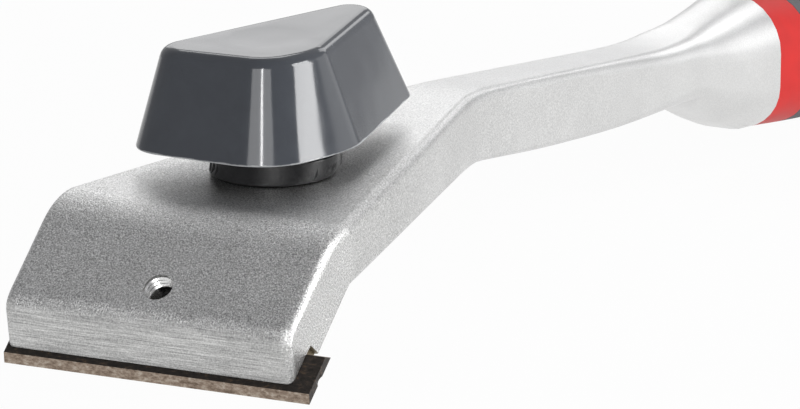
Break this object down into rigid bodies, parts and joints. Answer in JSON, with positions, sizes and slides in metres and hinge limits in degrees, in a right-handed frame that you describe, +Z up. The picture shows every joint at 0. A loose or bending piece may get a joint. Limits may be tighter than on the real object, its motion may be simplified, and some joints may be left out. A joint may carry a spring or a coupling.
{
  "type": "draw scraper",
  "caption": "Two-handed draw scraper: cast head with a clamped two-edged blade, a swivelling palm knob over the platform, and a slim neck that flares into a soft two-component grip.",
  "frame": {"origin": "bottom centre of the whole tool, lying on its blade edge and its grip", "axes": "+Y from the blade towards the butt of the handle, +Z up and out of the platform under the knob, +X along the cutting edge towards the end where the blade stands out"},
  "size_m": [0.065, 0.3526, 0.0575],
  "materials": {
    "cast_alloy": "fine-grained casting",
    "blade_steel": "dark hardened faces, ground bevels",
    "plated_steel": "zinc plated",
    "knob_plastic": "polished moulding",
    "collar_plastic": "glossy black moulding",
    "washer_nylon": "natural",
    "insert_brass": "turned",
    "grip_red": "satin moulding",
    "sleeve_soft": "matt soft moulding"
  },
  "bodies": {
    "frame": {"cast_body": "cast_alloy", "knob_collar": "collar_plastic", "thrust_washer": "washer_nylon", "grip_core": "grip_red", "grip_sleeve": "sleeve_soft", "butt_cap": "grip_red", "tang_pins": "plated_steel"},
    "knob": {"knob_cap": "knob_plastic", "knob_insert": "insert_brass", "pivot_bolt": "plated_steel", "bolt_washer": "plated_steel"},
    "clamp": {"clamp_plate": "plated_steel", "clamp_washer": "plated_steel"},
    "screw": {"clamp_screw": "plated_steel"},
    "scraping_blade": {"blade": "blade_steel"}
  },
  "joints": [
    {"name": "knob_swivel", "type": "hinge", "parent": "frame", "child": "knob", "pos_m": [-0.0019, -0.12716, 0.03137], "axis": [0, -0.0628, 0.998], "continuous": true},
    {"name": "clamp_drop", "type": "slide", "parent": "frame", "child": "clamp", "axis": [0, 0.6756, -0.7373], "range_m": [0, 0.0016]},
    {"name": "screw_turn", "type": "hinge", "parent": "clamp", "child": "screw", "pos_m": [-0.0019, -0.16468, 0.00986], "axis": [0, 0.6756, -0.7373], "range_deg": [0, 576.1]},
    {"name": "blade_slide", "type": "slide", "parent": "frame", "child": "scraping_blade", "axis": [0, -0.7373, -0.6756], "range_m": [0, 0.012]}
  ],
  "couplings": [
    {"joint": "screw_turn", "follows": "clamp_drop", "rad_per_m": 6283.2}
  ]
}
